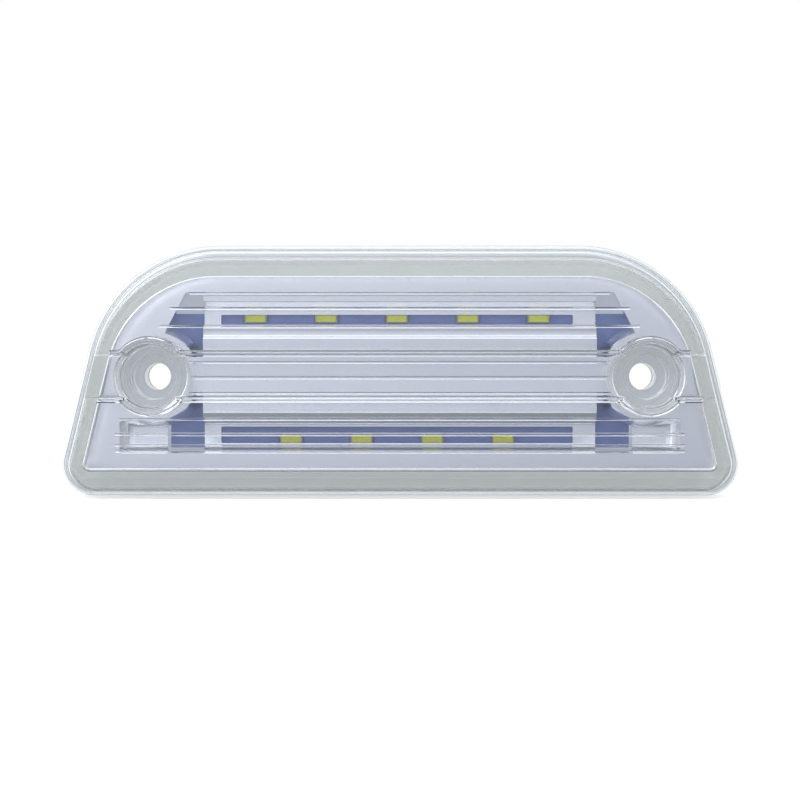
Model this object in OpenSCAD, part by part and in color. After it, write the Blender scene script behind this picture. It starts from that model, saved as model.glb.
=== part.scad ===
// High-mounted stop lamp: a clear D-shaped lens over two rows of LEDs, fixed by two screws.
// Frame: +Z is up and X runs along the lamp. The lamp faces -Y, and its gasket's back
// lies in the plane Y = 0. The origin is midway between the two screw holes.

/* [Outline] */
// Greatest width, at the lens flange
lamp_w = 140; // [136:1:150]
// Height of the top edge above the screw line
top_z = 27; // [26.5:0.1:29]
// Height of the bottom edge, below the screw line
bottom_z = -24.6; // [-26:0.1:-24]
// Radius of the two large top corners
top_r = 28.4; // [26:0.1:30]
// Radius of the two bottom corners
bottom_r = 6.4; // [5.8:0.1:7]
// Lean of the sides from the vertical, in degrees
side_lean = 13.75; // [12:0.25:15]

/* [Stack, measured from the mounting plane] */
// Thickness of the mounting gasket
gasket_t = 2.5; // [2:0.1:3]
// Thickness of the rear housing's plate
plate_t = 2.5; // [2:0.1:3]
// Thickness of the seal between the lens flange and that plate
seal_t = 0.6; // [0.4:0.1:0.8]
// Thickness of the lens flange
flange_t = 2.2; // [1.8:0.1:2.6]
// Distance from the mounting plane to the front of the lens
depth = 23.5; // [23:0.1:26]

/* [Lens] */
// Thickness of the lens's front wall
front_wall = 2.2; // [1.8:0.1:2.4]
// How far the flange stands proud of the lens wall
flange_lip = 1; // [0.8:0.1:1.4]
// Width of the channel across the front of the lens
channel_w = 8.6; // [7:0.1:10]
// Depth of that channel
channel_d = 3; // [2:0.1:4]
// Thickness of the channel's sides
channel_wall = 1; // [0.8:0.1:1.5]

/* [Screw wells] */
// Distance between the two screw holes
screw_spacing = 100; // [98:0.5:101]
// Radius of the screw holes
screw_hole_r = 2.8; // [2.4:0.1:3]
// Radius of the well that takes the screw head
head_well_r = 4.6; // [4.3:0.1:5]
// Radius of the wide mouth of the well
mouth_r = 6.3; // [6:0.1:6.5]
// Outer radius of the well's tube at the front
tube_r = 7.8; // [7.6:0.1:8.2]

/* [LEDs] */
// Distance between neighbouring LEDs in a row
led_pitch = 14.5; // [13.5:0.1:14.8]
// LEDs in the upper row
upper_leds = 5; // [3:1:5]
// LEDs in the lower row
lower_leds = 4; // [2:1:5]
// Height of the upper row
upper_row_z = 11.8; // [11.7:0.1:11.9]
// Height of the lower row
lower_row_z = -12.9; // [-13:0.1:-12.4]
// How far both rows sit to the right of the middle
led_shift = -0.6; // [-1:0.1:1]

/* [Connector] */
// Length of the socket behind the mounting plane
socket_out = 9; // [8:0.5:14]
// Distance between the two power terminals
terminal_pitch = 7; // [7:0.5:9]

/* [Hidden] */
$fn = 64;
eps = 0.05;
tuck = 0.02;

plate_back = -gasket_t;
plate_front = plate_back - plate_t;
lens_back = plate_front - seal_t;
flange_front = lens_back - flange_t;
lens_front = -depth;
lens_edge = 1.5;                       // height of the rounded front edge
front_inset = [3.6, 4.1, 2.1];         // front face inside the flange: top, sides, bottom
cavity_base = [4.6, 4.2, 4];           // hollow inside the flange, at the flange
cavity_front = [6.9, 6.3, 5.5];        // and behind the front wall
edge_grow = [-0.4, -0.4, -0.4];        // the front edge is a bevel, from this outline
edge_shrink = [0.8, 0.8, 0.8];         // at its back to this one at its front
front_r = [25.2, 5];                   // top and bottom corner radii of the front face
cavity_base_r = [top_r - 4.4, bottom_r - 4.4];
cavity_front_r = [22.4, 1.4];
screw_x = screw_spacing / 2;

mouth_floor = lens_front + 7.2;
seat_y = lens_front + 14.3;
tube_step = mouth_floor + 2;           // where the tube narrows behind the wide mouth
tube_back_r = head_well_r + 2;
tube_back = flange_front;
channel_floor = lens_front + channel_d;

panel_front = -13.5;
panel_t = 1.2;
panel_inset = [5.9, 5.4, 5];
panel_r = [22.6, 1.6];
rim_wall = 1;                          // wall from the panel's edge back to the housing
tray_rim = 1;                          // wall around the window
hump_front = panel_front - 1;
trough_front = -10.8;
trough_t = 0.8;
hump_half = [40, 8.9];
bridge_half = 4.8;                     // the hump reaches both collars within this height
upper_slot = [72, 2, 11.6];            // length, height and middle of the slot over each row
lower_slot = [72, 3.4, -12];
window_top = [43.6, 17.1];             // upper corner of the panel's window
window_side = [47.8, 9];               // widest point of its upper part
lower_window = [57.2, -15.7];          // lower corner of the long lower part
collar_r = 9;                          // rim of the panel around a screw well
collar_flare = 1.4;                    // how much wider that rim gets towards the back
cup_r = 7.9;                           // outside of the housing's cup around a lens tube
cup_gap = 0.15;
cup_front = -13.9;
panel_gap = 0.2;                       // around a cup, in the reflector
notch_gap = 0.3;                       // and in the board

gasket_inset = 1;                      // gasket, plate and seal lie this far inside the flange
plate_inset = 0.6;
seal_inset = 0.8;
seal_overlap = 0.2;                    // how far the seal reaches into the lens's hollow

board_back = -8.2;
board_t = 1.6;
board_front = board_back - board_t;
board_half_w = 47;
board_z = [-14.6, 12.8];
board_mid_z = (board_z[0] + board_z[1]) / 2;
post_x = 32;
post_r = 3;
board_screw_r = 1.25;
screw_gap = 0.15;                      // around the screw, in the board
board_head = [2.3, 1.4];               // radius and height of the screw's head
recess = [2.6, 0.6];                   // length and width of one arm of its cross recess

led_size = [4.5, 0.75, 1.6];             // length, height off the board, width
led_foot = [0.3, 0.6, 1.4];            // terminal beyond each end of the LED
window_size = [3.9, 0.3, 1.3];

socket_hole = [18, 10];                // opening in the housing
socket_body = [17.8, 9.8];
socket_inner = [15, 7];
socket_flange = [22, 14];
socket_wall_y = -1;
socket_flange_t = 1.5;
connector_seal_t = 1;
blade = [0.8, 2.8];                    // thickness along X, width along Z
blade_len = 14;
blade_tip = socket_out - 1.5;
tail_r = 0.45;
tail_out = 0.8;                        // how far a tail comes through the board
solder = [[1.1, 0], [0.7, 0.35]];      // outline of the solder around it, as radius and height
solder_top = 0.7;

vent_at = [25, 8];
vent_r = 3.5;
vent_t = 0.3;
vent_hole_r = 1.5;

resistor_at = [-24, -18, 18, 24];
resistor_size = [3.2, 0.55, 1.6];
diode_at = [-11, 3];
diode_size = [4.3, 2, 2.6];
suppressor_at = [11, 3];
suppressor_size = [4.6, 2.1, 3.6];
lead = [1.4, 0.2];                     // length and thickness of a flat lead
lead_share = 0.55;                     // its width as a share of the package's
capacitor_at = [0, 6];
capacitor_size = [3.2, 1.4, 2.5];
cap_len = 0.5;                         // metal end of a resistor or capacitor

// ---- Shapes that repeat ----

// The D outline in X and Z, moved inwards by inset = [top, sides, bottom], with its
// own corner radii. Each side runs from a top corner to a bottom corner. The straight
// edges lie a hair (tuck) inside the corner arcs, so that each crosses its arcs cleanly.
module outline(inset = [0, 0, 0], r_top = top_r, r_bot = bottom_r) {
    n = [cos(side_lean), sin(side_lean)];
    reach = n[0] * (lamp_w / 2 - bottom_r) + n[1] * (bottom_z + bottom_r) + bottom_r - inset[1];
    bot_cz = bottom_z + inset[2] + r_bot;
    bot_c = [(reach - r_bot - n[1] * bot_cz) / n[0], bot_cz];
    top_cz = top_z - inset[0] - r_top;
    top_c = [(reach - r_top - n[1] * top_cz) / n[0], top_cz];
    right = [[bot_c[0], bot_cz - r_bot + tuck], bot_c + (r_bot - tuck) * n,
        top_c + (r_top - tuck) * n, [top_c[0], top_cz + r_top - tuck]];
    left = [for (i = [len(right) - 1:-1:0]) [-right[i][0], right[i][1]]];
    polygon(concat(right, left));
    for (side = [-1, 1]) {
        translate([side * bot_c[0], bot_c[1]]) circle(r_bot);
        intersection() {
            translate([side * top_c[0], top_c[1]]) circle(r_top);
            translate([-lamp_w, top_cz]) square([2 * lamp_w, lamp_w]);
        }
    }
}

// The lamp's outline moved in by the same distance everywhere
module shrunk_outline(by) outline(by * [1, 1, 1], top_r - by, bottom_r - by);

// Extrudes an X-Z outline from y_back forwards to y_front
module slab(y_back, y_front) {
    translate([0, y_back, 0]) rotate([90, 0, 0]) linear_extrude(y_back - y_front) children();
}

// A round bar along Y at [x, z], from y_back forwards to y_front
module rod(at, r, y_back, y_front) {
    translate([at[0], y_back, at[1]]) rotate([90, 0, 0]) cylinder(r = r, h = y_back - y_front);
}

// A block centred on [x, z], its back face on y_back
module block(at, size, y_back) {
    translate([at[0] - size[0] / 2, y_back - size[1], at[1] - size[2] / 2]) cube(size);
}

module at_screws() {
    for (side = [-1, 1]) translate([side * screw_x, 0, 0]) children();
}

module at_leds(count, row_z) {
    for (i = [0:count - 1])
        translate([(i - (count - 1) / 2) * led_pitch + led_shift, board_front, row_z]) children();
}

// ---- Mounting and housing ----

module mounting_gasket() color("ivory") difference() {
    slab(0, plate_back) shrunk_outline(gasket_inset);
    at_screws() rod([0, 0], screw_hole_r, 1, plate_back - 1);
    slab(1, plate_back - 1) square(socket_flange, center = true);
    rod(vent_at, vent_r + 1, 1, plate_back - 1);
}

module rear_housing() color("oldlace") difference() {
    union() {
        slab(plate_back, plate_front) shrunk_outline(plate_inset);
        at_screws() difference() {
            rod([0, 0], cup_r, plate_front + eps, cup_front);
            rod([0, 0], tube_back_r + cup_gap, tube_back, cup_front - 1);
        }
        for (side = [-1, 1]) rod([side * post_x, board_mid_z], post_r, plate_front + eps, board_back);
    }
    at_screws() rod([0, 0], screw_hole_r, 1, tube_back - 1);
    for (side = [-1, 1]) rod([side * post_x, board_mid_z], board_screw_r, plate_front, board_back - 1);
    slab(1, plate_front - 1) square(socket_hole, center = true);
    rod(vent_at, vent_r, 1, plate_back - vent_t);
    rod(vent_at, vent_hole_r, 1, plate_front - 1);
}

// Lies between the housing's plate and the back of the lens flange
module perimeter_seal() color("honeydew") slab(plate_front, lens_back) difference() {
    shrunk_outline(seal_inset);
    outline(cavity_base - seal_overlap * [1, 1, 1], cavity_base_r[0] + seal_overlap,
        cavity_base_r[1] + seal_overlap);
}

module vent_membrane() color("white") rod(vent_at, vent_r, plate_back, plate_back - vent_t);

// ---- Lens ----

module lens_body() {
    lip = flange_lip * [1, 1, 1];
    slab(lens_back, flange_front) outline();
    hull() {
        slab(flange_front + eps, flange_front) outline(lip, top_r - flange_lip, bottom_r - flange_lip);
        slab(lens_front + lens_edge, lens_front + lens_edge - eps)
            outline(front_inset + edge_grow, front_r[0] - edge_grow[0], front_r[1] - edge_grow[0]);
        slab(lens_front + eps, lens_front)
            outline(front_inset + edge_shrink, front_r[0] - edge_shrink[0], front_r[1] - edge_shrink[0]);
    }
}

module lens_cavity() hull() {
    slab(lens_back + 1, flange_front) outline(cavity_base, cavity_base_r[0], cavity_base_r[1]);
    slab(lens_front + front_wall + eps, lens_front + front_wall)
        outline(cavity_front, cavity_front_r[0], cavity_front_r[1]);
}

module lens_tubes() at_screws() {
    rod([0, 0], tube_r, tube_step, lens_front + eps);
    rod([0, 0], tube_back_r, tube_back, tube_step - eps);
}

module outer_lens() color([0.85, 0.88, 0.95, 0.4]) difference() {
    lens_body();
    difference() {
        lens_cavity();
        block([0, 0], [lamp_w, 20, channel_w + 2 * channel_wall], channel_floor + front_wall);
        lens_tubes();
    }
    block([0, 0], [lamp_w + 2, 20, channel_w], channel_floor);
    at_screws() {
        rod([0, 0], mouth_r, mouth_floor, lens_front - 1);
        rod([0, 0], head_well_r, seat_y, lens_front - 1);
        rod([0, 0], screw_hole_r, 1, lens_front - 1);
    }
}

// ---- Reflector ----

// The window in the reflector's panel: a trapezoid over the upper row, a long slot over
// the lower row and the gap between them, with a collar left around each screw well
module window(grow = 0) {
    side = [grow, grow];
    difference() {
        union() {
            polygon([[-window_side[0] - grow, 0], [window_side[0] + grow, 0], window_side + [grow, 0],
                window_top + side, [-window_top[0] - grow, window_top[1] + grow],
                [-window_side[0] - grow, window_side[1]]]);
            translate(-[lower_window[0], -lower_window[1]] - side)
                square([2 * (lower_window[0] + grow), -lower_window[1] - window_side[1] + 2 * grow]);
            translate([-window_side[0] - grow, -window_side[1] - 1])
                square([2 * (window_side[0] + grow), window_side[1] + 2]);
        }
        for (x = [-screw_x, screw_x]) translate([x, 0]) circle(collar_r - grow);
    }
}

// The part of the window with a floor: the middle, and the two outer ends of the slot,
// which begin beside the board
module window_floor() intersection() {
    window(tray_rim);
    union() {
        square([2 * hump_half[0], lamp_w], center = true);
        difference() {
            translate([-lamp_w / 2, -lamp_w]) square([lamp_w, lamp_w - window_side[1] + tray_rim]);
            square([2 * board_half_w + 1, 3 * lamp_w], center = true);
        }
    }
}

module reflector() color("lightsteelblue") difference() {
    union() {
        slab(panel_front + panel_t, panel_front) difference() {
            outline(panel_inset, panel_r[0], panel_r[1]);
            window();
        }
        slab(plate_front, panel_front + eps) difference() {
            outline(panel_inset, panel_r[0], panel_r[1]);
            outline(panel_inset + rim_wall * [1, 1, 1], panel_r[0] - rim_wall, panel_r[1] - rim_wall);
        }
        slab(trough_front + trough_t, panel_front + eps) difference() {
            window(tray_rim);
            window();
        }
        slab(trough_front + trough_t, trough_front) window_floor();
        intersection() {
            slab(trough_front, panel_front + eps) outline(panel_inset, panel_r[0], panel_r[1]);
            at_screws() translate([0, trough_front, 0]) rotate([90, 0, 0])
                cylinder(r1 = collar_r + collar_flare, r2 = collar_r, h = trough_front - panel_front);
        }
        block([0, 0], [2 * hump_half[0], trough_front - hump_front + eps, 2 * hump_half[1]],
            trough_front + eps);
        block([0, 0], [2 * (screw_x - collar_r + 0.5), panel_t, 2 * bridge_half], panel_front + panel_t);
    }
    block([0, 0], [2 * (hump_half[0] - panel_t), trough_front + trough_t - hump_front - panel_t,
        2 * (hump_half[1] - panel_t)], trough_front + trough_t + eps);
    for (slot = [upper_slot, lower_slot])
        slab(trough_front + 1, trough_front - 1)
            translate([led_shift, slot[2]]) square([slot[0], slot[1]], center = true);
    at_screws() rod([0, 0], cup_r + panel_gap, plate_front, panel_front - 2);
}

// ---- Board and LEDs ----

module circuit_board() color("royalblue") difference() {
    slab(board_back, board_front)
        translate([-board_half_w, board_z[0]]) square([2 * board_half_w, board_z[1] - board_z[0]]);
    for (side = [-1, 1]) rod([side * post_x, board_mid_z], board_screw_r + screw_gap, 0, -depth);
    for (side = [-1, 1]) rod([side * terminal_pitch / 2, 0], tail_r, 0, -depth);
    // round notches that clear the cups around the screw wells
    at_screws() rod([0, 0], cup_r + notch_gap, 0, -depth);
}

module led_body() difference() {
    block([0, 0], led_size, 0);
    block([0, 0], [window_size[0], 1, window_size[2]], window_size[1] - led_size[1]);
}

module led_phosphor() block([0, 0], window_size - [0, eps, 0], window_size[1] - led_size[1]);

// A metal foot under each end of the LED, turned up over its end face
module led_terminals() for (side = [-1, 1])
    block([side * (led_size[0] + led_foot[0]) / 2, 0], led_foot, 0);

module upper_led_bodies() color("whitesmoke") at_leds(upper_leds, upper_row_z) led_body();
module lower_led_bodies() color("whitesmoke") at_leds(lower_leds, lower_row_z) led_body();
module upper_led_phosphor() color("greenyellow") at_leds(upper_leds, upper_row_z) led_phosphor();
module lower_led_phosphor() color("greenyellow") at_leds(lower_leds, lower_row_z) led_phosphor();
module upper_led_terminals() color("silver") at_leds(upper_leds, upper_row_z) led_terminals();
module lower_led_terminals() color("silver") at_leds(lower_leds, lower_row_z) led_terminals();

// ---- Small parts on the board, behind the reflector's hump ----

// The ceramic middle of a chip part of this size, and its two metal ends
module chip_middle(at, size) block(at, size - [2 * cap_len, 0, 0], board_front);
module chip_ends(at, size) for (side = [-1, 1])
    block(at + [side * (size[0] - cap_len) / 2, 0], [cap_len, size[1], size[2]], board_front);

module at_resistors() for (x = resistor_at) translate([x, 0, board_mid_z]) children();

// A moulded diode package with its two flat leads
module diode_case(at, size) block(at, size, board_front - lead[1]);
module diode_feet(at, size) for (side = [-1, 1])
    block(at + [side * size[0] / 2, 0], [lead[0], lead[1], size[2] * lead_share], board_front);

module current_resistors() color("dimgray") at_resistors() chip_middle([0, 0], resistor_size);
module resistor_end_caps() color("silver") at_resistors() chip_ends([0, 0], resistor_size);
module filter_capacitor() color("tan") chip_middle(capacitor_at, capacitor_size);
module capacitor_end_caps() color("silver") chip_ends(capacitor_at, capacitor_size);
module polarity_diode() color("dimgray") diode_case(diode_at, diode_size);
module diode_leads() color("silver") diode_feet(diode_at, diode_size);
module surge_suppressor() color("dimgray") diode_case(suppressor_at, suppressor_size);
module suppressor_leads() color("silver") diode_feet(suppressor_at, suppressor_size);

// Self-tapping screws with pan heads, through the board into the housing's posts
module board_screws() color("silver") for (side = [-1, 1]) difference() {
    union() {
        rod([side * post_x, board_mid_z], board_screw_r - eps, plate_front - 2 * eps, board_front);
        rod([side * post_x, board_mid_z], board_head[0], board_front, board_front - board_head[1]);
    }
    for (turn = [0, 90])
        translate([side * post_x, board_front - board_head[1], board_mid_z]) rotate([0, turn, 0])
            cube([recess[0], board_head[1], recess[1]], center = true);
}

// ---- Connector at the back ----

module connector_socket() color("dimgray") difference() {
    union() {
        slab(socket_out, plate_front - connector_seal_t - eps) square(socket_body, center = true);
        slab(plate_front - connector_seal_t, plate_front - connector_seal_t - socket_flange_t)
            square(socket_flange, center = true);
    }
    slab(socket_out + 1, socket_wall_y) square(socket_inner, center = true);
    power_pins();
}

module connector_seal() color("black") slab(plate_front, plate_front - connector_seal_t) difference() {
    square(socket_flange, center = true);
    square(socket_body, center = true);
}

// Flat blades in the socket, each with a round tail that goes through the board
module power_pins() for (side = [-1, 1]) {
    block([side * terminal_pitch / 2, 0], [blade[0], blade_len, blade[1]], blade_tip);
    rod([side * terminal_pitch / 2, 0], tail_r, blade_tip - blade_len + 2 * eps, board_front - tail_out);
}

module power_terminals() color("gold") power_pins();

// Solder around each tail, on the front of the board
module solder_joints() color("silver") for (side = [-1, 1])
    translate([side * terminal_pitch / 2, board_front, 0]) rotate([90, 0, 0])
        rotate_extrude() polygon(concat([[tail_r, 0]], solder, [[tail_r, solder_top]]));

mounting_gasket();
rear_housing();
perimeter_seal();
outer_lens();
reflector();
circuit_board();
upper_led_bodies();
lower_led_bodies();
upper_led_phosphor();
lower_led_phosphor();
upper_led_terminals();
lower_led_terminals();
current_resistors();
resistor_end_caps();
polarity_diode();
diode_leads();
surge_suppressor();
suppressor_leads();
filter_capacitor();
capacitor_end_caps();
board_screws();
connector_socket();
connector_seal();
power_terminals();
solder_joints();
vent_membrane();
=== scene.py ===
"""Looks of the stop lamp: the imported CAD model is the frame; the lens and the reflector get
finely moulded meshes, and every piece gets its material. Lengths are millimetres until a
mesh is made, which is in metres like the frame."""
import math

import bmesh
import bpy
from mathutils import Matrix, Vector


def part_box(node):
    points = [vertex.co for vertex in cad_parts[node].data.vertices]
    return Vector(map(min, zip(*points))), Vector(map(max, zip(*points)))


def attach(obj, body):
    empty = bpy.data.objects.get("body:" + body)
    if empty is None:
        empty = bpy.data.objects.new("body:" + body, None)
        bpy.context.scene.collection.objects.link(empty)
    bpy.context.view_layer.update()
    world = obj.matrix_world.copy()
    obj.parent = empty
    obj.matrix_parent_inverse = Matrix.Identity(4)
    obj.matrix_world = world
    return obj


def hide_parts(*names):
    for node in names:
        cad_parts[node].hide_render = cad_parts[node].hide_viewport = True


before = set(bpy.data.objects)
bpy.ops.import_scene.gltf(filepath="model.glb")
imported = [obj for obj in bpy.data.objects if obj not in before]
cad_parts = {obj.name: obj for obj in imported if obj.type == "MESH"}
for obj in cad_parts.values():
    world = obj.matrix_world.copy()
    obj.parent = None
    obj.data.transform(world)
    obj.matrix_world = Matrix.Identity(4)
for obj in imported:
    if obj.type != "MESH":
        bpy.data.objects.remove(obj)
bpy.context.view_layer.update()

MM = 0.001


def box_mm(node):
    """Lowest and highest corner of a CAD node, in millimetres."""
    low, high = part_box(node)
    return [c / MM for c in low], [c / MM for c in high]


# ---- Dimensions read from the frame, with the details that only the looks need ----

LENS_LOW, LENS_HIGH = box_mm("outer_lens")
LAMP_W = LENS_HIGH[0] - LENS_LOW[0]
TOP_Z, BOTTOM_Z = LENS_HIGH[2], LENS_LOW[2]
LENS_BACK, LENS_FRONT = LENS_HIGH[1], LENS_LOW[1]
SCREW_X = 50.0

TOP_R = 28.4
BOTTOM_R = 6.4
SIDE_LEAN = math.radians(13.75)
FLANGE_T = 2.2
FLANGE_LIP = 1.0
FLANGE_ROUNDING = 0.5
FLANGE_FILLET = 0.35
FRONT_ROUNDING = 0.9
FRONT_R = (25.5, 5.3)
DRAFT = math.radians(9)
FRONT_WALL = 2.2
FRONT_INSET = (3.6, 4.1, 2.1)
CAVITY_BASE = (4.6, 4.2, 4.0)
CAVITY_FRONT = (6.9, 6.3, 5.5)
CAVITY_FRONT_R = (22.4, 1.4)
CAVITY_SHRINK = 4.4
CAVITY_ROUNDING = 0.4
CHANNEL_HALF = 4.3
CHANNEL_D = 3.0
CHANNEL_WALL = 1.0
CHANNEL_CORNER = 0.5
CHANNEL_LIP = 0.35
TUBE_R = 7.8
TUBE_BACK_R = 6.6
MOUTH_R = 6.3
MOUTH_D = 7.2
HEAD_R = 4.6
SEAT_D = 14.3
HOLE_R = 2.8

PANEL_LOW, PANEL_HIGH = box_mm("reflector")
PANEL_INSET = (TOP_Z - PANEL_HIGH[2], 5.2, PANEL_LOW[2] - BOTTOM_Z)
PANEL_FRONT = -13.5
PANEL_TOP_R = 22.6
PANEL_BOTTOM_R = 1.6
PANEL_T = 1.2
PANEL_BACK = -5.0
HOLLOW_R = (21.0, 0.8)
TROUGH_FRONT = -10.8
TROUGH_BACK = -10.0
HUMP_HALF_X = 40.0
BRIDGE_HALF_Z = 4.8
HUMP_FRONT = -14.5
WINDOW_TOP = (43.6, 17.1)
WINDOW_SIDE = (47.8, 9.0)
LOWER_WINDOW = (57.2, -15.7)
SLOT_END_X = 47.5
SLOT_END_CURVE = 2.8
SLOT_END_TOP = -8.2
COLLAR_R = 9.0
COLLAR_FLARE = 1.4
CUP_HOLE_R = 8.1
LED_LOW, LED_HIGH = box_mm("upper_led_bodies")
LED_SHIFT = (LED_LOW[0] + LED_HIGH[0]) / 2
SLOT_HALF_X = 36.0
UPPER_SLOT = (12.6, 10.6)
LOWER_SLOT = (-10.3, -13.7)

ARC_STEPS = 40
CORNER_STEPS = 16
LATHE_STEPS = 112


# ---- Mesh helpers ----

def grown(inset, by):
    """An inset = (top, sides, bottom) with the same amount added to each."""
    return tuple(i + by for i in inset)


def arc(cx, cz, r, start, end, steps):
    """Points of a circle from the angle start to the angle end, both in radians."""
    out = []
    for i in range(steps + 1):
        t = start + (end - start) * i / steps
        out.append((cx + r * math.cos(t), cz + r * math.sin(t)))
    return out


def d_outline(inset, r_top, r_bot):
    """The lamp's D outline in X and Z, moved in by inset = (top, sides, bottom)."""
    nx, nz = math.cos(SIDE_LEAN), math.sin(SIDE_LEAN)
    reach = nx * (LAMP_W / 2 - BOTTOM_R) + nz * (BOTTOM_Z + BOTTOM_R) + BOTTOM_R - inset[1]
    bot_z = BOTTOM_Z + inset[2] + r_bot
    bot_x = (reach - r_bot - nz * bot_z) / nx
    top_z = TOP_Z - inset[0] - r_top
    top_x = (reach - r_top - nz * top_z) / nx
    right = arc(top_x, top_z, r_top, math.pi / 2, SIDE_LEAN, ARC_STEPS)
    right += arc(bot_x, bot_z, r_bot, SIDE_LEAN, -math.pi / 2, CORNER_STEPS)
    return right + [(-x, z) for x, z in reversed(right)]


def finish_mesh(bm, name):
    bmesh.ops.recalc_face_normals(bm, faces=bm.faces)
    mesh = bpy.data.meshes.new(name)
    bm.to_mesh(mesh)
    bm.free()
    obj = bpy.data.objects.new(name, mesh)
    bpy.context.scene.collection.objects.link(obj)
    return obj


def loft(name, rings):
    """A closed solid through rings of (x, y, z), all with the same number of points."""
    bm = bmesh.new()
    rows = [[bm.verts.new(Vector(p) * MM) for p in ring] for ring in rings]
    n = len(rings[0])
    for a, b in zip(rows, rows[1:]):
        for i in range(n):
            bm.faces.new((a[i], a[(i + 1) % n], b[(i + 1) % n], b[i]))
    bm.faces.new(rows[0])
    bm.faces.new(rows[-1])
    return finish_mesh(bm, name)


def d_loft(name, steps):
    """A loft of D outlines, each step (y, inset, top radius, bottom radius)."""
    rings = []
    for y, inset, r_top, r_bot in steps:
        rings.append([(x, y, z) for x, z in d_outline(inset, r_top, r_bot)])
    return loft(name, rings)


def lathe(name, x, profile):
    """A closed solid turned about the Y axis through (x, 0), profile = [(radius, y)]."""
    rings = []
    for r, y in profile:
        turn = arc(x, 0, r, 0, 2 * math.pi, LATHE_STEPS)[:-1]
        rings.append([(px, y, pz) for px, pz in turn])
    return loft(name, rings)


def prism_x(name, profile, x0, x1):
    """A (y, z) outline drawn out along X."""
    return loft(name, [[(x, y, z) for y, z in profile] for x in (x0, x1)])


def prism_y(name, outline, y0, y1):
    """An (x, z) outline drawn out along Y."""
    return loft(name, [[(x, y, z) for x, z in outline] for y in (y0, y1)])


def rounded(points, radius, steps=8):
    """The outline with each corner turned into an arc of that radius."""
    out = []
    n = len(points)
    for i, corner in enumerate(points):
        c = Vector(corner)
        a = (Vector(points[i - 1]) - c).normalized()
        b = (Vector(points[(i + 1) % n]) - c).normalized()
        half = a.angle(b) / 2
        centre = c + (a + b).normalized() * (radius / math.sin(half))
        start = c + a * (radius / math.tan(half)) - centre
        end = c + b * (radius / math.tan(half)) - centre
        sweep = start.angle_signed(end)
        for k in range(steps + 1):
            p = Matrix.Rotation(-sweep * k / steps, 2) @ start + centre
            out.append((p.x, p.y))
    return out


def combine(base, tools, operation):
    """base with each tool joined to it, cut from it or cutting it down; the tools go."""
    for tool in tools:
        mod = base.modifiers.new("combine", "BOOLEAN")
        mod.operation = operation
        mod.solver = "MANIFOLD"
        mod.object = tool
        graph = bpy.context.evaluated_depsgraph_get()
        mesh = bpy.data.meshes.new_from_object(base.evaluated_get(graph))
        base.modifiers.clear()
        base.data = mesh
        bpy.data.objects.remove(tool)
    return base


def smooth(obj, sharp_deg=30):
    """Smooth shading that leaves flat faces flat and edges sharper than that crisp."""
    bm = bmesh.new()
    bm.from_mesh(obj.data)
    bmesh.ops.remove_doubles(bm, verts=bm.verts, dist=0.000002)
    bmesh.ops.recalc_face_normals(bm, faces=bm.faces)
    bm.to_mesh(obj.data)
    bm.free()
    obj.data.shade_smooth()
    obj.data.set_sharp_from_angle(angle=math.radians(sharp_deg))
    mod = obj.modifiers.new("flat faces", "WEIGHTED_NORMAL")
    mod.keep_sharp = True
    return obj


# ---- Lens ----

def lens_outside():
    """The outer skin: a flange with rounded edges, a drafted wall and a rounded front edge."""
    flange_front = LENS_BACK - FLANGE_T
    steps = []
    edge = FLANGE_ROUNDING
    for i in range(5):
        t = math.pi / 2 * i / 4
        by = edge * (1 - math.sin(t))
        steps.append((LENS_BACK - edge * (1 - math.cos(t)), (by,) * 3, TOP_R - by, BOTTOM_R - by))
    for i in range(5):
        t = math.pi / 2 * i / 4
        by = edge * (1 - math.cos(t))
        steps.append((flange_front + edge * (1 - math.sin(t)), (by,) * 3, TOP_R - by, BOTTOM_R - by))
    fillet = FLANGE_FILLET
    for i in range(1, 5):
        t = math.pi / 2 * i / 4
        by = FLANGE_LIP - fillet * (1 - math.sin(t))
        steps.append((flange_front - fillet * (1 - math.cos(t)), (by,) * 3, TOP_R - by, BOTTOM_R - by))
    edge = FRONT_ROUNDING
    for i in range(9):
        t = DRAFT + (math.pi / 2 - DRAFT) * i / 8
        by = edge * (math.cos(DRAFT) - math.cos(t))
        y = LENS_FRONT + edge * (1 - math.sin(t))
        steps.append((y, grown(FRONT_INSET, by - 0.3), FRONT_R[0] - by, FRONT_R[1] - by))
    return d_loft("outer_lens_mesh", steps)


def lens_cavity():
    """The hollow behind the front wall; it widens towards the flange."""
    flange_front = LENS_BACK - FLANGE_T
    r_top, r_bot = TOP_R - CAVITY_SHRINK, BOTTOM_R - CAVITY_SHRINK
    steps = [(LENS_BACK + 1, CAVITY_BASE, r_top, r_bot), (flange_front, CAVITY_BASE, r_top, r_bot)]
    edge = CAVITY_ROUNDING
    for i in range(7):
        t = math.pi / 2 * i / 6
        by = edge * (1 - math.cos(t))
        y = LENS_FRONT + FRONT_WALL + edge * (1 - math.sin(t))
        inset = grown(CAVITY_FRONT, by)
        steps.append((y, inset, CAVITY_FRONT_R[0] - by, CAVITY_FRONT_R[1] - by))
    return d_loft("cavity", steps)


def rib(y_wall, z, half_w, height, x_half):
    """A rounded rib along X on the back of a wall."""
    profile = [(y_wall - 1, z - half_w), (y_wall - 1, z + half_w)]
    for i in range(9):
        u = 1 - 2 * i / 8
        profile.append((y_wall + height * (1 - u * u), z + half_w * u))
    return prism_x("rib", profile, -x_half, x_half)


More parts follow.
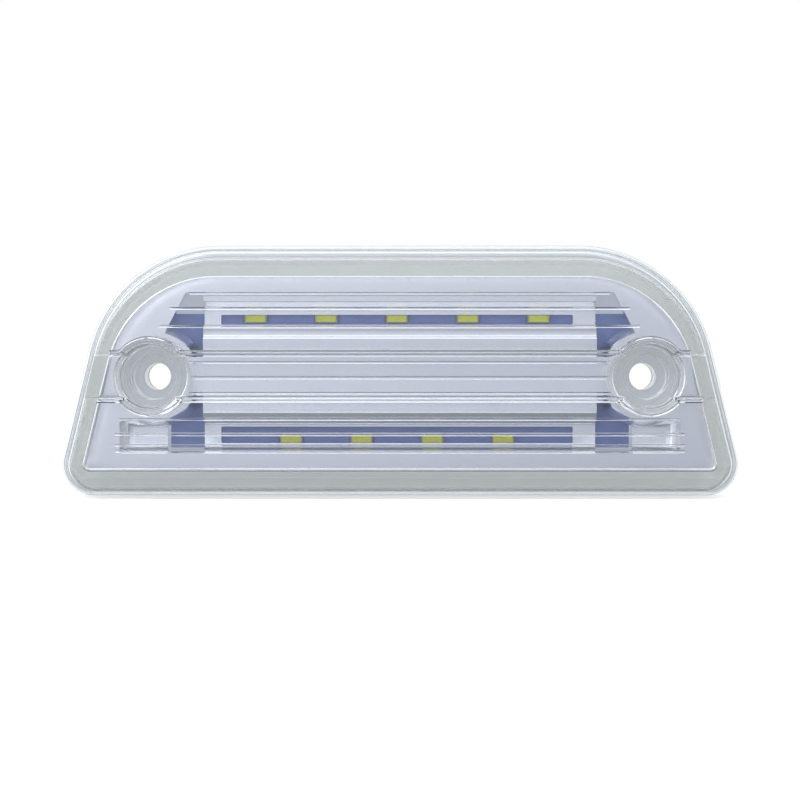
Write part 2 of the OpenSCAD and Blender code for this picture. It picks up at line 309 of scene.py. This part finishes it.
def channel_cutter():
    """The channel's cross-section: flat floor with rounded corners and flared lips."""
    floor = LENS_FRONT + CHANNEL_D
    r, lip = CHANNEL_CORNER, CHANNEL_LIP
    side = arc(CHANNEL_HALF - r, floor - r, r, math.pi / 2, 0, 5)
    side += arc(CHANNEL_HALF + lip, LENS_FRONT + lip, lip, math.pi, 1.5 * math.pi, 5)
    side.append((CHANNEL_HALF + lip, LENS_FRONT - 2))
    profile = [(y, z) for z, y in side]
    profile += [(y, -z) for z, y in reversed(side)]
    return prism_x("channel", profile, -LAMP_W / 2 - 1, LAMP_W / 2 + 1)


def channel_body():
    """The plastic behind the channel, which stands into the cavity with soft corners."""
    half = CHANNEL_HALF + CHANNEL_WALL
    back = LENS_FRONT + CHANNEL_D + FRONT_WALL
    r = CHANNEL_CORNER
    corner = arc(half - r, back - r, r, 0, math.pi / 2, 8)
    profile = [(LENS_FRONT - 1, -half)]
    profile += [(y, -z) for z, y in corner]
    profile += [(y, z) for z, y in reversed(corner)]
    profile.append((LENS_FRONT - 1, half))
    return prism_x("channel_body", profile, -LAMP_W, LAMP_W)


def well_cutter(x):
    """A screw well: a flared lip, the wide mouth, the head well, its seat and the hole."""
    f = LENS_FRONT
    profile = [(8.2, f - 1), (7.75, f), (7.6, f + 0.2), (7.2, f + 0.35), (6.9, f + 0.45)]
    profile += [(6.6, f + 0.7), (6.45, f + 1.1), (MOUTH_R + 0.05, f + 1.6)]
    profile += [(MOUTH_R - 0.1, f + MOUTH_D - 0.4), (MOUTH_R - 0.25, f + MOUTH_D - 0.1),
                (MOUTH_R - 0.55, f + MOUTH_D)]
    profile += [(HEAD_R + 0.5, f + MOUTH_D), (HEAD_R + 0.15, f + MOUTH_D + 0.12),
                (HEAD_R, f + MOUTH_D + 0.5)]
    profile += [(HEAD_R - 0.05, f + SEAT_D - 0.3), (HEAD_R - 0.35, f + SEAT_D)]
    profile += [(HOLE_R + 0.2, f + SEAT_D), (HOLE_R, f + SEAT_D + 0.2), (HOLE_R, 1)]
    return lathe("well", x, profile)


def well_tube(x):
    """The tube around a well, which narrows behind the mouth."""
    f = LENS_FRONT
    step = f + MOUTH_D + 2
    back = LENS_BACK - FLANGE_T
    wall = f + FRONT_WALL
    profile = [(TUBE_R + 0.3, f + 0.5), (TUBE_R + 0.3, wall), (TUBE_R + 0.08, wall + 0.2)]
    profile += [(TUBE_R, wall + 0.5), (TUBE_R - 0.1, step - 0.5), (TUBE_R - 0.3, step - 0.1),
                (TUBE_R - 0.6, step)]
    profile += [(TUBE_BACK_R + 0.4, step + 0.1), (TUBE_BACK_R, step + 0.6), (TUBE_BACK_R, back)]
    return lathe("tube", x, profile)


# Ribs behind the lens's front wall: z, half width, how far it stands out, half length
RIBS = [(16.6, 0.25, 0.12, 42.0), (13.6, 0.3, 0.16, 46.0), (10.0, 0.3, 0.16, 48.0),
        (-8.6, 0.25, 0.12, 56.0), (-11.6, 0.35, 0.2, 57.0), (-13.8, 0.25, 0.12, 57.0),
        (-15.0, 0.3, 0.16, 57.0)]
CHANNEL_RIBS = [(2.8, 0.25, 0.12, 42.5), (-0.3, 0.35, 0.15, 42.5), (-3.4, 0.25, 0.12, 42.5)]


def make_lens():
    """The lens: its outer skin, cut by the hollow, the channel and the two wells."""
    cavity = lens_cavity()
    combine(cavity, [channel_body(), well_tube(-SCREW_X), well_tube(SCREW_X)], "DIFFERENCE")
    y_wall = LENS_FRONT + FRONT_WALL
    combine(cavity, [rib(y_wall, *sizes) for sizes in RIBS], "DIFFERENCE")
    combine(cavity, [rib(y_wall + CHANNEL_D, *sizes) for sizes in CHANNEL_RIBS], "DIFFERENCE")
    lens = lens_outside()
    combine(lens, [cavity, channel_cutter(), well_cutter(-SCREW_X), well_cutter(SCREW_X)], "DIFFERENCE")
    lens.name = "outer_lens_moulded"
    return smooth(lens)


# ---- Reflector ----

def window_outline(grow=0.0):
    """The window in the panel: a trapezoid over the upper row and a long slot below."""
    tx, tz = WINDOW_TOP[0] + grow, WINDOW_TOP[1] + grow
    sx, sz = WINDOW_SIDE[0] + grow, WINDOW_SIDE[1]
    lx, lz = LOWER_WINDOW[0] + grow, LOWER_WINDOW[1] - grow
    right = [(tx, tz), (sx, sz), (sx, -sz + grow), (lx, -sz + grow), (lx, lz)]
    return right + [(-x, z) for x, z in reversed(right)]


def window_solid(name, grow, y0, y1, radius):
    """The window's outline drawn out along Y, less the rims around the two wells."""
    solid = prism_y(name, rounded(window_outline(grow), radius), y0, y1)
    sides = [(COLLAR_R - grow, -2), (COLLAR_R - grow, -30)]
    collars = [lathe("collar", s * SCREW_X, sides) for s in (-1, 1)]
    return combine(solid, collars, "DIFFERENCE")


def ease(start, end, bulge, steps=10):
    """A quarter-wave curve between two (y, z) points; bulge says which of the two leads."""
    out = []
    for i in range(1, steps + 1):
        t = i / steps * math.pi / 2
        fast, slow = math.sin(t), 1 - math.cos(t)
        ty, tz = (fast, slow) if bulge else (slow, fast)
        out.append((start[0] + (end[0] - start[0]) * ty, start[1] + (end[1] - start[1]) * tz))
    return out


def hollow_run(start, end, depth, steps=12):
    """A run between two (y, z) points that is hollowed by depth in its middle."""
    out = []
    for i in range(1, steps + 1):
        t = i / steps
        y = start[0] + (end[0] - start[0]) * t + depth * math.sin(t * math.pi)
        out.append((y, start[1] + (end[1] - start[1]) * t))
    return out


def lower_wall():
    """The lower wall of the lower trough: a soft corner, then a steep hollow wall."""
    points = [(TROUGH_FRONT, -13.7), (TROUGH_FRONT - 0.12, -14.05)]
    points += ease(points[-1], (PANEL_FRONT + 0.2, -15.3), False, 10)
    return points + [(PANEL_FRONT, LOWER_WINDOW[1])]


def tray_profile():
    """Cross-section of the troughs and the hump, front side first, then the back side."""
    wall_top = WINDOW_TOP[1] + 0.4
    wall_bottom = LOWER_WINDOW[1] - 0.4
    shelf = PANEL_FRONT + 0.3
    front = [(PANEL_FRONT, wall_top), (PANEL_FRONT, WINDOW_TOP[1])]
    # upper trough: a soft shelf, a steep wall, the floor, and the wall of the hump
    front += ease(front[-1], (shelf, WINDOW_TOP[1] - 0.9), True, 6)
    front += [(shelf, 15.3)]
    front += ease(front[-1], (shelf + 0.15, 15.15), False, 4)
    front += [(PANEL_FRONT + 1.4, 14.25), (PANEL_FRONT + 1.45, 13.95), (TROUGH_FRONT - 0.3, 13.65)]
    front += ease(front[-1], (TROUGH_FRONT, 13.35), True, 5)
    front += [(TROUGH_FRONT, 10.55)]
    front += ease(front[-1], (TROUGH_FRONT - 0.35, 10.35), False, 4)
    front += [(HUMP_FRONT + 1.0, 10.05)]
    front += ease(front[-1], (HUMP_FRONT + 0.75, 9.75), True, 5)
    # a slightly hollow ledge, then a round step up to the hump's face
    front += hollow_run(front[-1], (HUMP_FRONT + 0.8, 8.35), 0.03)
    front += ease(front[-1], (HUMP_FRONT + 0.4, 8.05), False, 4)
    front += ease(front[-1], (HUMP_FRONT, 7.6), True, 6)
    # the hump's face, a fine groove, then its round lower shoulder
    front += hollow_run(front[-1], (HUMP_FRONT, -7.0), 0.1)
    front += [(HUMP_FRONT + 0.22, -7.1), (HUMP_FRONT + 0.12, -7.25)]
    front += ease(front[-1], (HUMP_FRONT + 1.9, -8.9), False, 12)
    front += [(HUMP_FRONT + 1.95, -9.2), (TROUGH_FRONT - 0.4, -9.6)]
    front += ease(front[-1], (TROUGH_FRONT, -9.95), True, 5)
    front += lower_wall()
    front.append((PANEL_FRONT, wall_bottom))
    back = [(TROUGH_BACK, wall_bottom), (TROUGH_BACK, -9.6), (-12.0, -7.8), (-13.0, -6.2),
            (-13.0, 6.2), (-12.4, 7.6), (TROUGH_BACK, 9.9), (TROUGH_BACK, wall_top)]
    return front + back


def slot_end(side):
    """An outer end of the lower trough, curved across its width and up at its end."""
    x0, x1 = side * SLOT_END_X, side * (LOWER_WINDOW[0] + 0.5)
    front = [(PANEL_FRONT + 0.1, SLOT_END_TOP), (PANEL_FRONT + 0.1, -8.7)]
    front += ease(front[-1], (TROUGH_FRONT, -10.6), True, 10)
    front += lower_wall()
    front += [(PANEL_FRONT, LOWER_WINDOW[1] - 0.4), (TROUGH_BACK, LOWER_WINDOW[1] - 0.4)]
    across = prism_x("slot_end", front + [(TROUGH_BACK, SLOT_END_TOP)], x0, x1)
    curve = [(x1, PANEL_FRONT + 0.1), (side * (LOWER_WINDOW[0] - 0.1), PANEL_FRONT + 0.1)]
    for i in range(1, 13):
        t = math.pi / 2 * i / 12
        x = LOWER_WINDOW[0] - 0.1 - SLOT_END_CURVE * (1 - math.cos(t))
        curve.append((side * x, PANEL_FRONT + 0.1 + (TROUGH_FRONT - PANEL_FRONT - 0.1) * math.sin(t)))
    curve += [(side * 54, TROUGH_BACK), (x1, TROUGH_BACK)]
    end = loft("slot_end_wall", [[(x, y, z) for x, y in curve] for z in (-8.4, -15.9)])
    return combine(across, [end], "UNION")


def collar_cone(x):
    """The rim around a screw well, which flares towards the back inside the panel's edge."""
    wide = COLLAR_R + COLLAR_FLARE
    profile = [(wide, TROUGH_FRONT), (wide - 0.15, TROUGH_FRONT - 0.2)]
    profile += [(COLLAR_R + 0.3, PANEL_FRONT + 0.5), (COLLAR_R, PANEL_FRONT + 0.15)]
    cone = lathe("collar_cone", x, profile)
    inside = [(y, PANEL_INSET, PANEL_TOP_R, PANEL_BOTTOM_R) for y in (PANEL_BACK, -20.0)]
    return combine(cone, [d_loft("panel_edge", inside)], "INTERSECT")


def slot_cutter(top, bottom):
    """The slot over a row of LEDs, centred on the rows."""
    left, right = LED_SHIFT - SLOT_HALF_X, LED_SHIFT + SLOT_HALF_X
    outline = rounded([(left, top), (right, top), (right, bottom), (left, bottom)], 0.3)
    return prism_y("slot", outline, -14, -5)


def make_reflector():
    """The metallised tray: panel, window, troughs, hump, bridge and the rims around the wells."""
    steps = [(PANEL_BACK, PANEL_INSET, PANEL_TOP_R, PANEL_BOTTOM_R)]
    bead = [(0, 0.0), (0.08, 0.25), (0.3, 0.4), (0.55, 0.3), (0.72, 0.1), (0.85, 0.0)]
    for by, up in bead:
        steps.append((PANEL_FRONT - up, grown(PANEL_INSET, by), PANEL_TOP_R - by, PANEL_BOTTOM_R - by))
    body = d_loft("reflector_mesh", steps)
    inside = grown(PANEL_INSET, 1.0)
    hollow = d_loft("hollow", [(y, inside, *HOLLOW_R) for y in (-4.0, PANEL_FRONT + PANEL_T)])
    combine(body, [hollow], "DIFFERENCE")
    combine(body, [window_solid("frame", 1.0, TROUGH_BACK, PANEL_FRONT + 0.1, 1.4)], "UNION")
    combine(body, [window_solid("bead", 0.45, TROUGH_BACK, PANEL_FRONT - 0.1, 1.2)], "UNION")
    combine(body, [window_solid("opening", 0.0, -3, -20, 0.9)], "DIFFERENCE")
    tray = prism_x("tray", tray_profile(), -HUMP_HALF_X, HUMP_HALF_X)
    combine(tray, [slot_cutter(*UPPER_SLOT), slot_cutter(*LOWER_SLOT)], "DIFFERENCE")
    bridge_x, bridge_z = SCREW_X - COLLAR_R + 0.5, BRIDGE_HALF_Z
    outline = [(-bridge_x, -bridge_z), (bridge_x, -bridge_z)]
    outline += [(bridge_x, bridge_z), (-bridge_x, bridge_z)]
    bridge = prism_y("bridge", rounded(outline, 0.6), PANEL_FRONT + PANEL_T, PANEL_FRONT)
    extra = [slot_end(-1), slot_end(1), collar_cone(-SCREW_X), collar_cone(SCREW_X)]
    combine(body, [tray, bridge] + extra, "UNION")
    holes = [lathe("hole", s * SCREW_X, [(CUP_HOLE_R, -2), (CUP_HOLE_R, -30)]) for s in (-1, 1)]
    combine(body, holes, "DIFFERENCE")
    body.name = "reflector_moulded"
    return smooth(body, 40)


# ---- Materials ----

def material(name):
    mat = bpy.data.materials.new(name)
    mat.use_nodes = True
    shader = mat.node_tree.nodes["Principled BSDF"]
    return mat, mat.node_tree, shader


def setup(shader, color=None, metallic=None, rough=None, **more):
    if color is not None:
        shader.inputs["Base Color"].default_value = (*color, 1)
    if metallic is not None:
        shader.inputs["Metallic"].default_value = metallic
    if rough is not None:
        shader.inputs["Roughness"].default_value = rough
    for key, value in more.items():
        shader.inputs[key.replace("_", " ")].default_value = value


def noise(tree, scale, detail=2.0, rough=0.5, stretch=None):
    coord = tree.nodes.new("ShaderNodeTexCoord")
    tex = tree.nodes.new("ShaderNodeTexNoise")
    tex.inputs["Scale"].default_value = scale
    tex.inputs["Detail"].default_value = detail
    tex.inputs["Roughness"].default_value = rough
    if stretch:
        mapping = tree.nodes.new("ShaderNodeMapping")
        mapping.inputs["Scale"].default_value = stretch
        tree.links.new(coord.outputs["Object"], mapping.inputs["Vector"])
        tree.links.new(mapping.outputs["Vector"], tex.inputs["Vector"])
    else:
        tree.links.new(coord.outputs["Object"], tex.inputs["Vector"])
    return tex


def vary(tree, shader, socket, source, low, high):
    """Drives a number socket from a noise, between low and high."""
    span = tree.nodes.new("ShaderNodeMapRange")
    span.inputs["To Min"].default_value = low
    span.inputs["To Max"].default_value = high
    tree.links.new(source.outputs[0], span.inputs["Value"])
    tree.links.new(span.outputs["Result"], shader.inputs[socket])


def tint(tree, shader, source, dark, light):
    ramp = tree.nodes.new("ShaderNodeValToRGB")
    ramp.color_ramp.elements[0].position = 0.3
    ramp.color_ramp.elements[0].color = (*dark, 1)
    ramp.color_ramp.elements[1].position = 0.7
    ramp.color_ramp.elements[1].color = (*light, 1)
    tree.links.new(source.outputs[0], ramp.inputs["Fac"])
    tree.links.new(ramp.outputs["Color"], shader.inputs["Base Color"])


def bump(tree, shader, source, distance_mm, strength=1.0):
    node = tree.nodes.new("ShaderNodeBump")
    node.inputs["Distance"].default_value = distance_mm * MM
    node.inputs["Strength"].default_value = strength
    tree.links.new(source.outputs[0], node.inputs["Height"])
    tree.links.new(node.outputs["Normal"], shader.inputs["Normal"])


def clear_plastic():
    mat, _, shader = material("clear_polycarbonate")
    setup(shader, (0.965, 0.976, 0.998), 0.0, 0.02, IOR=1.58, Transmission_Weight=1.0)
    return mat


def metallised():
    mat, tree, shader = material("metallised_plastic")
    setup(shader, (0.88, 0.89, 0.92), 1.0, 0.22)
    vary(tree, shader, "Roughness", noise(tree, 160, 3), 0.18, 0.28)
    bump(tree, shader, noise(tree, 1200, 2), 0.01, 0.25)
    return mat


def moulded(name, dark, light, rough, grain=2200, painted_glow=0.0):
    """Moulded plastic or rubber: a little colour drift and a fine grain. The glow is painted light,
    an emission standing for the light that thin translucent plastic lets through."""
    mat, tree, shader = material(name)
    setup(shader, light, 0.0, rough)
    tint(tree, shader, noise(tree, 90, 3), dark, light)
    vary(tree, shader, "Roughness", noise(tree, 400, 2), rough - 0.06, rough + 0.06)
    bump(tree, shader, noise(tree, grain, 3), 0.03, 0.3)
    # Painted light: an emission in the part's own colour makes the part glow though it is no lamp.
    if painted_glow:
        shader.inputs["Emission Color"].default_value = (*light, 1)
        shader.inputs["Emission Strength"].default_value = painted_glow / max(light)
    return mat


def metal(name, color, rough):
    mat, tree, shader = material(name)
    setup(shader, color, 1.0, rough)
    vary(tree, shader, "Roughness", noise(tree, 900, 4, stretch=(1, 8, 1)), rough - 0.08, rough + 0.1)
    bump(tree, shader, noise(tree, 2500, 2), 0.01, 0.2)
    return mat


def solder_mask():
    mat, tree, shader = material("blue_solder_mask")
    setup(shader, (0.20, 0.29, 0.68), 0.0, 0.3, Coat_Weight=0.4, Coat_Roughness=0.1)
    tint(tree, shader, noise(tree, 350, 2, stretch=(1, 1, 4)), (0.18, 0.27, 0.65), (0.22, 0.31, 0.72))
    bump(tree, shader, noise(tree, 900, 3), 0.02, 0.3)
    return mat


def phosphor():
    mat, tree, shader = material("phosphor_gel")
    setup(shader, (0.90, 0.95, 0.06), 0.0, 0.35)
    tint(tree, shader, noise(tree, 1800, 3), (0.86, 0.92, 0.05), (0.93, 0.98, 0.08))
    return mat


def paint_nodes():
    # The housing and the seal bead glow with painted light: an emission that brightens them though
    # neither is a lamp.
    white = moulded("housing_plastic", (0.60, 0.63, 0.65), (0.64, 0.67, 0.69), 0.45, painted_glow=0.3)
    foam = moulded("gasket_foam", (0.62, 0.61, 0.525), (0.66, 0.65, 0.56), 0.85, 700)
    seal = moulded("seal_bead", (0.81, 0.85, 0.80), (0.85, 0.89, 0.84), 0.4, painted_glow=0.22)
    black = moulded("black_plastic", (0.012, 0.012, 0.014), (0.02, 0.02, 0.022), 0.45)
    package = moulded("led_package", (0.40, 0.41, 0.36), (0.46, 0.47, 0.40), 0.4)
    tan = moulded("capacitor_ceramic", (0.30, 0.20, 0.12), (0.38, 0.26, 0.16), 0.5)
    film = moulded("vent_film", (0.75, 0.75, 0.75), (0.82, 0.82, 0.82), 0.9, 900)
    tin = metal("tin_plate", (0.62, 0.62, 0.60), 0.3)
    # Painted shade: the LED terminals are made a dark metal to stand for the shadow at both ends of
    # each LED.
    painted_shade_terminals = metal("led_terminals_painted_shade", (0.16, 0.17, 0.19), 0.35)
    zinc = metal("zinc_plate", (0.55, 0.56, 0.58), 0.32)
    brass = metal("brass", (0.72, 0.50, 0.20), 0.3)
    yellow = phosphor()
    looks = {
        "mounting_gasket": foam, "rear_housing": white, "perimeter_seal": seal,
        "circuit_board": solder_mask(), "upper_led_bodies": package, "lower_led_bodies": package,
        "upper_led_phosphor": yellow, "lower_led_phosphor": yellow, "upper_led_terminals": painted_shade_terminals,
        "lower_led_terminals": painted_shade_terminals, "current_resistors": black, "resistor_end_caps": tin,
        "polarity_diode": black, "diode_leads": tin, "surge_suppressor": black,
        "suppressor_leads": tin, "filter_capacitor": tan, "capacitor_end_caps": tin,
        "board_screws": zinc, "connector_socket": black, "connector_seal": black,
        "power_terminals": brass, "solder_joints": tin, "vent_membrane": film,
    }
    for name, mat in looks.items():
        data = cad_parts[name].data
        data.materials.clear()
        data.materials.append(mat)


# ---- Studio ----

def make_floor():
    bm = bmesh.new()
    bmesh.ops.create_grid(bm, x_segments=1, y_segments=1, size=3.0)
    floor = finish_mesh(bm, "studio_floor")
    floor.location.z = BOTTOM_Z * MM
    mat, _, shader = material("studio_floor")
    setup(shader, (0.6, 0.6, 0.6), 0.0, 0.9)
    shader.inputs["Emission Color"].default_value = (1, 1, 1, 1)
    shader.inputs["Emission Strength"].default_value = 0.6
    floor.data.materials.append(mat)
    floor.visible_glossy = False
    floor.visible_transmission = False


def make_world():
    """Brightest well above the horizon, dark below, dimmer behind the lamp and to its right, a
    little blue from the camera's side. The camera itself sees plain white."""
    world = bpy.data.worlds.new("studio")
    bpy.context.scene.world = world
    world.use_nodes = True
    tree = world.node_tree
    tree.nodes.clear()
    coord = tree.nodes.new("ShaderNodeTexCoord")
    split = tree.nodes.new("ShaderNodeSeparateXYZ")
    tree.links.new(coord.outputs["Generated"], split.inputs["Vector"])

    def ramp(socket, stops):
        span = tree.nodes.new("ShaderNodeMapRange")
        span.inputs["From Min"].default_value = -1
        span.inputs["From Max"].default_value = 1
        tree.links.new(split.outputs[socket], span.inputs["Value"])
        node = tree.nodes.new("ShaderNodeValToRGB")
        node.color_ramp.interpolation = "EASE"
        elements = node.color_ramp.elements
        while len(elements) < len(stops):
            elements.new(0.5)
        for element, (at, value) in zip(elements, stops):
            element.position = (at + 1) / 2
            element.color = (*value, 1)
        tree.links.new(span.outputs["Result"], node.inputs["Fac"])
        return node

    def grey(stops):
        return [(at, (v, v, v)) for at, v in stops]

    height = ramp("Z", grey([(-1, 0.25), (-0.35, 0.35), (-0.15, 0.68), (0.2, 1.3), (0.42, 1.35),
                             (0.52, 2.3), (0.7, 2.3), (0.82, 1.3), (1, 1.2)]))
    depth = ramp("Y", [(-1, (0.70, 0.73, 0.79)), (-0.6, (0.88, 0.89, 0.92)), (0.0, (1.0, 1.0, 1.0)),
                       (0.6, (0.62, 0.63, 0.65)), (1, (0.40, 0.42, 0.46))])
    across = ramp("X", grey([(-1, 1.2), (-0.5, 1.3), (0.5, 0.75), (1, 0.85)]))

    def times(a, b):
        node = tree.nodes.new("ShaderNodeMix")
        node.data_type = "RGBA"
        node.blend_type = "MULTIPLY"
        node.inputs["Factor"].default_value = 1
        tree.links.new(a, node.inputs["A"])
        tree.links.new(b, node.inputs["B"])
        return node.outputs["Result"]

    sky = times(times(height.outputs["Color"], depth.outputs["Color"]), across.outputs["Color"])
    light = tree.nodes.new("ShaderNodeBackground")
    tree.links.new(sky, light.inputs["Color"])
    plain = tree.nodes.new("ShaderNodeBackground")
    plain.inputs["Color"].default_value = (1, 1, 1, 1)
    path = tree.nodes.new("ShaderNodeLightPath")
    pick = tree.nodes.new("ShaderNodeMixShader")
    out = tree.nodes.new("ShaderNodeOutputWorld")
    tree.links.new(path.outputs["Is Camera Ray"], pick.inputs["Fac"])
    tree.links.new(light.outputs["Background"], pick.inputs[1])
    tree.links.new(plain.outputs["Background"], pick.inputs[2])
    tree.links.new(pick.outputs["Shader"], out.inputs["Surface"])


def make_camera():
    """A long lens 420 mm in front, a little to the right of the middle and above it."""
    distance, width, sensor = 420.0, 159.4, 36
    target = Vector((0.09, LENS_FRONT, -4.7))
    right, up = math.radians(0.3), math.radians(0.75)
    away = Vector((math.sin(right), -math.cos(right) * math.cos(up), math.sin(up)))
    data = bpy.data.cameras.new("camera")
    data.sensor_width = sensor
    data.lens = sensor * distance / width
    data.clip_start = 0.01
    camera = bpy.data.objects.new("camera", data)
    camera.location = (target + away * distance) * MM
    camera.rotation_euler = (-away).to_track_quat("-Z", "Y").to_euler()
    bpy.context.scene.collection.objects.link(camera)
    bpy.context.scene.camera = camera


def settings():
    scene = bpy.context.scene
    scene.view_settings.view_transform = "Standard"
    scene.view_settings.look = "None"
    scene.cycles.use_denoising = True
    scene.cycles.max_bounces = 24
    scene.cycles.transmission_bounces = 24
    scene.cycles.glossy_bounces = 12
    scene.cycles.diffuse_bounces = 6


settings()
make_camera()
make_world()
make_floor()
paint_nodes()

lens = make_lens()
lens.data.materials.clear()
lens.data.materials.append(clear_plastic())
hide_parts("outer_lens")
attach(lens, "root")

reflector = make_reflector()
reflector.data.materials.clear()
reflector.data.materials.append(metallised())
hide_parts("reflector")
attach(reflector, "root")
